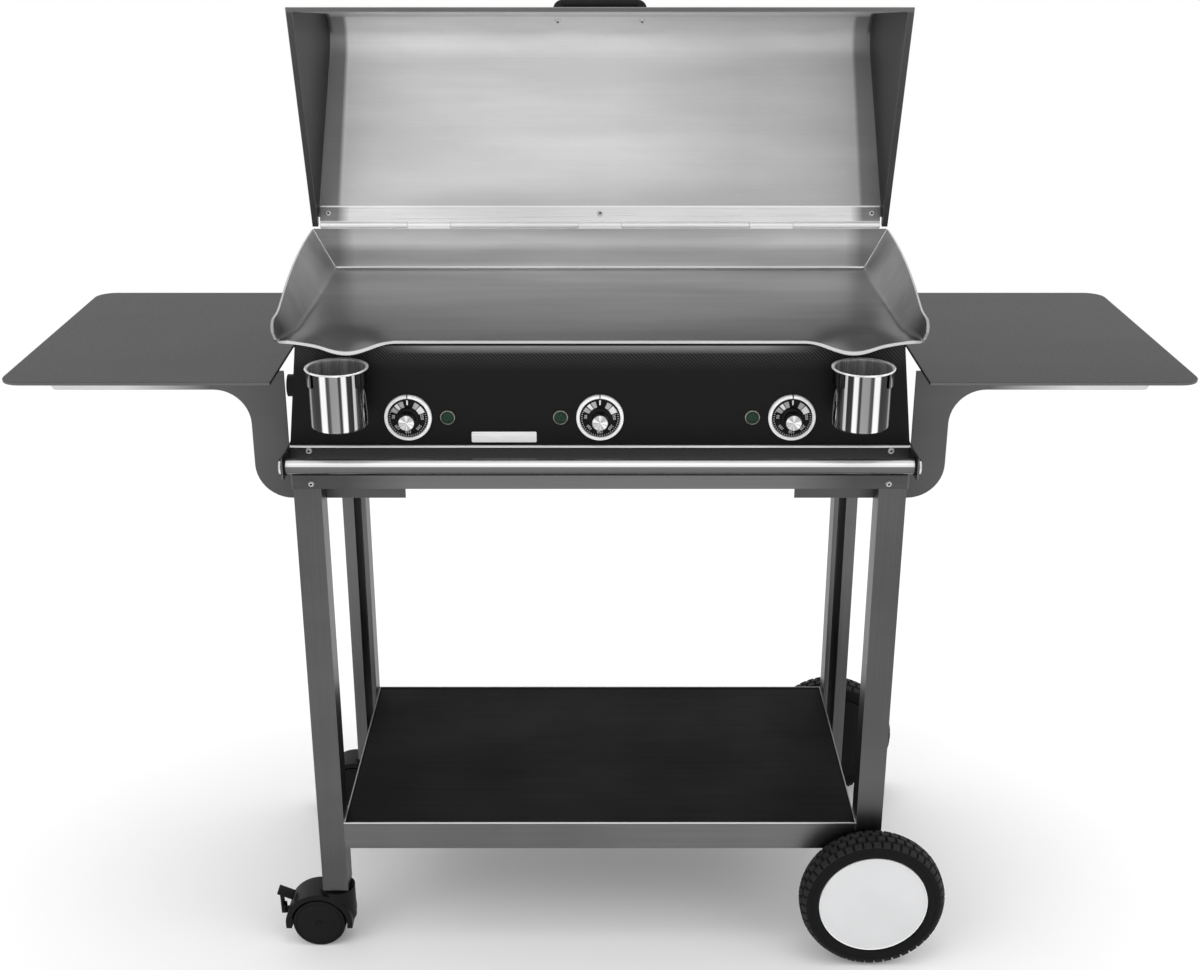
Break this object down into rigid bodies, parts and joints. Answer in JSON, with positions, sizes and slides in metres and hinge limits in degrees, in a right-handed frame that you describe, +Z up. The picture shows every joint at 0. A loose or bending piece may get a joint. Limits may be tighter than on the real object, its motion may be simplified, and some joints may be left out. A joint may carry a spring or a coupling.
{
  "type": "electric griddle with cart",
  "caption": "Electric flat-top griddle with a hinged hood lid, on a rolling cart with side shelves, a lower shelf, a push bar, grease cups, wheels and braked casters.",
  "frame": {"origin": "on the floor under the middle of the whole assembly's box", "axes": "+X to the cart's right along the side shelves, +Y from the control panel to the back, +Z up"},
  "size_m": [1.471, 0.5326, 1.2664],
  "materials": {
    "frame_steel": "dark satin brushed",
    "polished_steel": "polished",
    "plate_steel": "brushed",
    "lid_steel": "brushed",
    "black_sheet": "black textured",
    "black_plastic": "matte black",
    "caster_tread": "satin black",
    "white_plastic": "satin white",
    "knob_silver": "brushed",
    "lamp_bezel": "bronze grey",
    "lamp_green": "dark green",
    "tyre_rubber": "black",
    "zinc_steel": "bright",
    "control_metal": "plain",
    "mineral_board": "fibrous",
    "cable_rubber": "black"
  },
  "bodies": {
    "cart": {"front_legs": "frame_steel", "rear_legs": "frame_steel", "upper_front_rail": "frame_steel", "upper_rear_rail": "frame_steel", "upper_side_rails": "frame_steel", "side_shelf_left": "frame_steel", "side_shelf_right": "frame_steel", "shelf_brackets": "frame_steel", "lower_shelf_rails": "frame_steel", "push_bar": "polished_steel", "push_bar_caps": "polished_steel", "griddle_plate": "plate_steel", "hinge_knuckles": "lid_steel", "control_panel": "black_sheet", "housing": "black_sheet", "rear_cover": "black_sheet", "lower_shelf_panel": "black_sheet", "push_bar_collars": "black_plastic", "cable_gland": "black_plastic", "terminal_block": "black_plastic", "caster_sockets": "black_plastic", "dial_bezels": "white_plastic", "name_plate": "knob_silver", "pilot_bezels": "lamp_bezel", "pilot_lenses": "lamp_green", "frame_bolts": "zinc_steel", "panel_screws": "zinc_steel", "hinge_pin": "zinc_steel", "wheel_axle": "zinc_steel", "cup_clips": "zinc_steel", "heating_elements": "zinc_steel", "thermostats": "control_metal", "insulation_board": "mineral_board", "wiring_loom": "cable_rubber"},
    "lid": {"lid_shell": "lid_steel", "lid_hinge_leaf": "lid_steel", "lid_handle": "black_plastic", "lid_screws": "zinc_steel"},
    "dial_left": {"dial_left": "black_plastic", "knob_left": "knob_silver"},
    "dial_centre": {"dial_centre": "black_plastic", "knob_centre": "knob_silver"},
    "dial_right": {"dial_right": "black_plastic", "knob_right": "knob_silver"},
    "cup_left": {"cup_left": "polished_steel"},
    "cup_right": {"cup_right": "polished_steel"},
    "front_wheel": {"front_tyre": "tyre_rubber", "front_hub": "black_plastic", "front_hub_cap": "white_plastic"},
    "rear_wheel": {"rear_tyre": "tyre_rubber", "rear_hub": "black_plastic", "rear_hub_cap": "white_plastic"},
    "caster_front": {"caster_front_body": "black_plastic"},
    "caster_front_wheel_near": {"caster_front_wheel_near": "caster_tread"},
    "caster_front_wheel_far": {"caster_front_wheel_far": "caster_tread"},
    "caster_front_brake": {"caster_front_brake": "black_plastic"},
    "caster_rear": {"caster_rear_body": "black_plastic"},
    "caster_rear_wheel_near": {"caster_rear_wheel_near": "caster_tread"},
    "caster_rear_wheel_far": {"caster_rear_wheel_far": "caster_tread"},
    "caster_rear_brake": {"caster_rear_brake": "black_plastic"}
  },
  "joints": [
    {"name": "lid_hinge", "type": "hinge", "parent": "cart", "child": "lid", "pos_m": [0, 0.16216, 0.9575], "axis": [1, 0, 0], "range_deg": [0, 63]},
    {"name": "dial_left_turn", "type": "hinge", "parent": "cart", "child": "dial_left", "pos_m": [-0.238, -0.18434, 0.791], "axis": [0, 1, 0], "range_deg": [0, 270]},
    {"name": "dial_centre_turn", "type": "hinge", "parent": "cart", "child": "dial_centre", "pos_m": [0, -0.18434, 0.791], "axis": [0, 1, 0], "range_deg": [0, 270]},
    {"name": "dial_right_turn", "type": "hinge", "parent": "cart", "child": "dial_right", "pos_m": [0.238, -0.18434, 0.791], "axis": [0, 1, 0], "range_deg": [0, 270]},
    {"name": "cup_left_pull", "type": "slide", "parent": "cart", "child": "cup_left", "axis": [0, -1, 0], "range_m": [0, 0.08], "deforming": ["cup_clips"]},
    {"name": "cup_right_pull", "type": "slide", "parent": "cart", "child": "cup_right", "axis": [0, -1, 0], "range_m": [0, 0.08], "deforming": ["cup_clips"]},
    {"name": "front_wheel_spin", "type": "hinge", "parent": "cart", "child": "front_wheel", "pos_m": [0.375, -0.21084, 0.1], "axis": [0, 1, 0], "continuous": true},
    {"name": "rear_wheel_spin", "type": "hinge", "parent": "cart", "child": "rear_wheel", "pos_m": [0.375, 0.23516, 0.1], "axis": [0, 1, 0], "continuous": true},
    {"name": "caster_front_swivel", "type": "hinge", "parent": "cart", "child": "caster_front", "pos_m": [-0.37, -0.16384, 0.09], "axis": [0, 0, 1], "continuous": true},
    {"name": "caster_front_near_spin", "type": "hinge", "parent": "caster_front", "child": "caster_front_wheel_near", "pos_m": [-0.396, -0.17709, 0.0375], "axis": [0, 1, 0], "continuous": true},
    {"name": "caster_front_far_spin", "type": "hinge", "parent": "caster_front", "child": "caster_front_wheel_far", "pos_m": [-0.396, -0.15059, 0.0375], "axis": [0, 1, 0], "continuous": true},
    {"name": "caster_front_brake_press", "type": "hinge", "parent": "caster_front", "child": "caster_front_brake", "pos_m": [-0.447, -0.16384, 0.046], "axis": [0, -1, 0], "range_deg": [0, 25]},
    {"name": "caster_rear_swivel", "type": "hinge", "parent": "cart", "child": "caster_rear", "pos_m": [-0.37, 0.18816, 0.09], "axis": [0, 0, 1], "continuous": true},
    {"name": "caster_rear_near_spin", "type": "hinge", "parent": "caster_rear", "child": "caster_rear_wheel_near", "pos_m": [-0.396, 0.17491, 0.0375], "axis": [0, 1, 0], "continuous": true},
    {"name": "caster_rear_far_spin", "type": "hinge", "parent": "caster_rear", "child": "caster_rear_wheel_far", "pos_m": [-0.396, 0.20141, 0.0375], "axis": [0, 1, 0], "continuous": true},
    {"name": "caster_rear_brake_press", "type": "hinge", "parent": "caster_rear", "child": "caster_rear_brake", "pos_m": [-0.447, 0.18816, 0.046], "axis": [0, -1, 0], "range_deg": [0, 25]}
  ]
}
